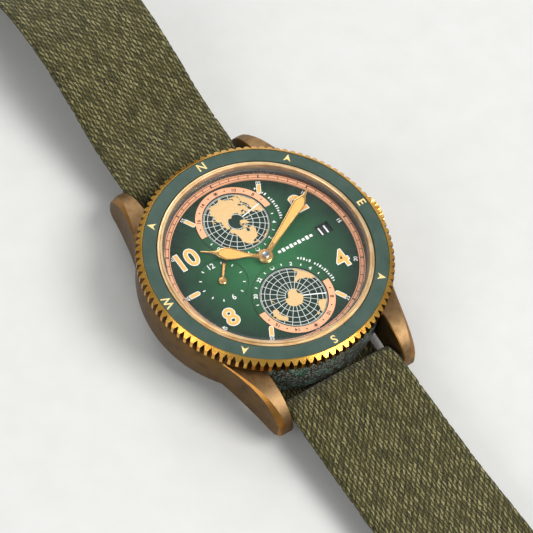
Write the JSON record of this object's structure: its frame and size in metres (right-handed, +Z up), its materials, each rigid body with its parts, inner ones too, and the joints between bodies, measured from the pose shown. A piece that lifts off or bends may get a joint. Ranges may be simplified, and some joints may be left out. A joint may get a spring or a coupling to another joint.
{
  "type": "dive watch",
  "caption": "Bronze wristwatch with a notched turning compass bezel, green dial with turning globes and a small second-zone dial, on a one-piece woven olive strap.",
  "frame": {"origin": "the watch's axis where it meets the table, on the flat underside of the strap below the case", "axes": "+X to 3 o'clock and the crown, +Y to 12 o'clock and the buckle, +Z up out of the crystal"},
  "size_m": [0.0438, 0.2472, 0.0141],
  "materials": {
    "case_bronze": "brushed bronze with a brown patina and polished edges",
    "polished_bronze": "polished bronze",
    "insert_green": "satin grey-green ceramic",
    "dial_green": "sunray green lacquer that darkens to its edge",
    "copper": "matt copper print and ring",
    "rose_gilt": "rose gilt with beige lume",
    "sapphire": "clear domed sapphire",
    "steel": "fine brushed",
    "brass": "fine grained movement brass",
    "black_disc": "matt black with white numerals",
    "rubber": "matt",
    "olive_weave": "coarse woven olive textile"
  },
  "bodies": {
    "case": {"case_middle": "case_bronze", "case_back": "steel", "case_back_gasket": "rubber", "crystal": "sapphire", "crystal_ring": "polished_bronze", "crystal_gasket": "rubber", "bezel_gasket": "rubber", "bezel_click_spring": "steel", "crown_tube": "steel", "spring_bar_12": "steel", "spring_bar_6": "steel", "strap_centre": "olive_weave", "dial": "dial_green", "minute_track_ring": "copper", "north_hour_ring": "copper", "south_hour_ring": "copper", "casing_ring": "brass", "mainplate": "brass", "train_bridge": "steel", "balance_cock": "steel", "hairspring": "steel", "rotor_bearing": "steel"},
    "bezel": {"bezel_ring": "polished_bronze", "bezel_insert": "insert_green"},
    "crown_carriage": {"crown_gasket": "rubber"},
    "crown": {"crown": "polished_bronze", "crown_stem": "steel"},
    "minute": {"minute_hand": "rose_gilt", "cannon_pinion": "steel", "centre_wheel": "brass"},
    "hour": {"hour_hand": "rose_gilt", "hour_wheel": "brass"},
    "north_globe": {"north_globe": "dial_green"},
    "south_globe": {"south_globe": "dial_green"},
    "second_zone": {"second_zone_hand": "rose_gilt", "second_zone_wheel": "brass"},
    "date": {"date_disc": "black_disc"},
    "barrel": {"barrel": "brass"},
    "third_wheel": {"third_wheel": "brass"},
    "fourth_wheel": {"fourth_wheel": "brass"},
    "escape_wheel": {"escape_wheel": "steel"},
    "pallet_fork": {"pallet_fork": "steel"},
    "balance": {"balance_wheel": "brass"},
    "rotor": {"rotor": "brass"},
    "tail": {"strap_tail": "olive_weave"},
    "buckle_end": {"strap_buckle_end": "olive_weave", "fixed_keeper": "olive_weave"},
    "sliding_keeper": {"sliding_keeper": "olive_weave"},
    "buckle": {"buckle_frame": "polished_bronze", "buckle_bar": "steel"},
    "tongue": {"buckle_tongue": "polished_bronze"}
  },
  "joints": [
    {"name": "bezel_turn", "type": "hinge", "parent": "case", "child": "bezel", "pos_m": [0, 0, 0.012], "axis": [0, 0, -1], "continuous": true},
    {"name": "crown_pull", "type": "slide", "parent": "case", "child": "crown_carriage", "axis": [1, 0, 0], "range_m": [0, 0.0008]},
    {"name": "crown_turn", "type": "hinge", "parent": "crown_carriage", "child": "crown", "pos_m": [0.0217, 0, 0.0073], "axis": [1, 0, 0], "continuous": true},
    {"name": "minute_turn", "type": "hinge", "parent": "case", "child": "minute", "pos_m": [0, 0, 0.0121], "axis": [0, 0, -1], "continuous": true},
    {"name": "hour_turn", "type": "hinge", "parent": "case", "child": "hour", "pos_m": [0, 0, 0.0118], "axis": [0, 0, -1], "continuous": true},
    {"name": "north_globe_turn", "type": "hinge", "parent": "case", "child": "north_globe", "pos_m": [0, 0.00825, 0.011], "axis": [0, 0, -1], "continuous": true},
    {"name": "south_globe_turn", "type": "hinge", "parent": "case", "child": "south_globe", "pos_m": [0, -0.00825, 0.011], "axis": [0, 0, -1], "continuous": true},
    {"name": "second_zone_turn", "type": "hinge", "parent": "case", "child": "second_zone", "pos_m": [-0.00825, 0, 0.011], "axis": [0, 0, -1], "continuous": true},
    {"name": "date_turn", "type": "hinge", "parent": "case", "child": "date", "pos_m": [0, 0, 0.0103], "axis": [0, 0, -1], "continuous": true},
    {"name": "barrel_turn", "type": "hinge", "parent": "case", "child": "barrel", "pos_m": [-0.0046, -0.0046, 0.007], "axis": [0, 0, -1], "continuous": true},
    {"name": "third_wheel_turn", "type": "hinge", "parent": "case", "child": "third_wheel", "pos_m": [-0.00078, 0.00442, 0.007], "axis": [0, 0, -1], "continuous": true},
    {"name": "fourth_wheel_turn", "type": "hinge", "parent": "case", "child": "fourth_wheel", "pos_m": [0.00272, 0.0057, 0.007], "axis": [0, 0, -1], "continuous": true},
    {"name": "escape_wheel_turn", "type": "hinge", "parent": "case", "child": "escape_wheel", "pos_m": [0.00597, 0.00452, 0.007], "axis": [0, 0, -1], "continuous": true},
    {"name": "pallet_fork_turn", "type": "hinge", "parent": "case", "child": "pallet_fork", "pos_m": [0.00783, 0.0023, 0.007], "axis": [0, 0, 1], "range_deg": [-5, 5]},
    {"name": "balance_turn", "type": "hinge", "parent": "case", "child": "balance", "pos_m": [0.00827, -0.00268, 0.007], "axis": [0, 0, 1], "range_deg": [-270, 270]},
    {"name": "rotor_turn", "type": "hinge", "parent": "case", "child": "rotor", "pos_m": [0, 0, 0.0035], "axis": [0, 0, 1], "continuous": true},
    {"name": "tail_fold", "type": "hinge", "parent": "case", "child": "tail", "pos_m": [0, -0.0227, 0.0041], "axis": [1, 0, 0], "range_deg": [-5, 75]},
    {"name": "buckle_end_fold", "type": "hinge", "parent": "case", "child": "buckle_end", "pos_m": [0, 0.0227, 0.0041], "axis": [-1, 0, 0], "range_deg": [-5, 75]},
    {"name": "keeper_slide", "type": "slide", "parent": "buckle_end", "child": "sliding_keeper", "axis": [0, 1, 0], "range_m": [0, 0.0035]},
    {"name": "buckle_swing", "type": "hinge", "parent": "buckle_end", "child": "buckle", "pos_m": [0, 0.103, 0.0021], "axis": [1, 0, 0], "range_deg": [-45, 45]},
    {"name": "tongue_swing", "type": "hinge", "parent": "buckle", "child": "tongue", "pos_m": [0, 0.103, 0.0021], "axis": [1, 0, 0], "range_deg": [0, 60]}
  ]
}
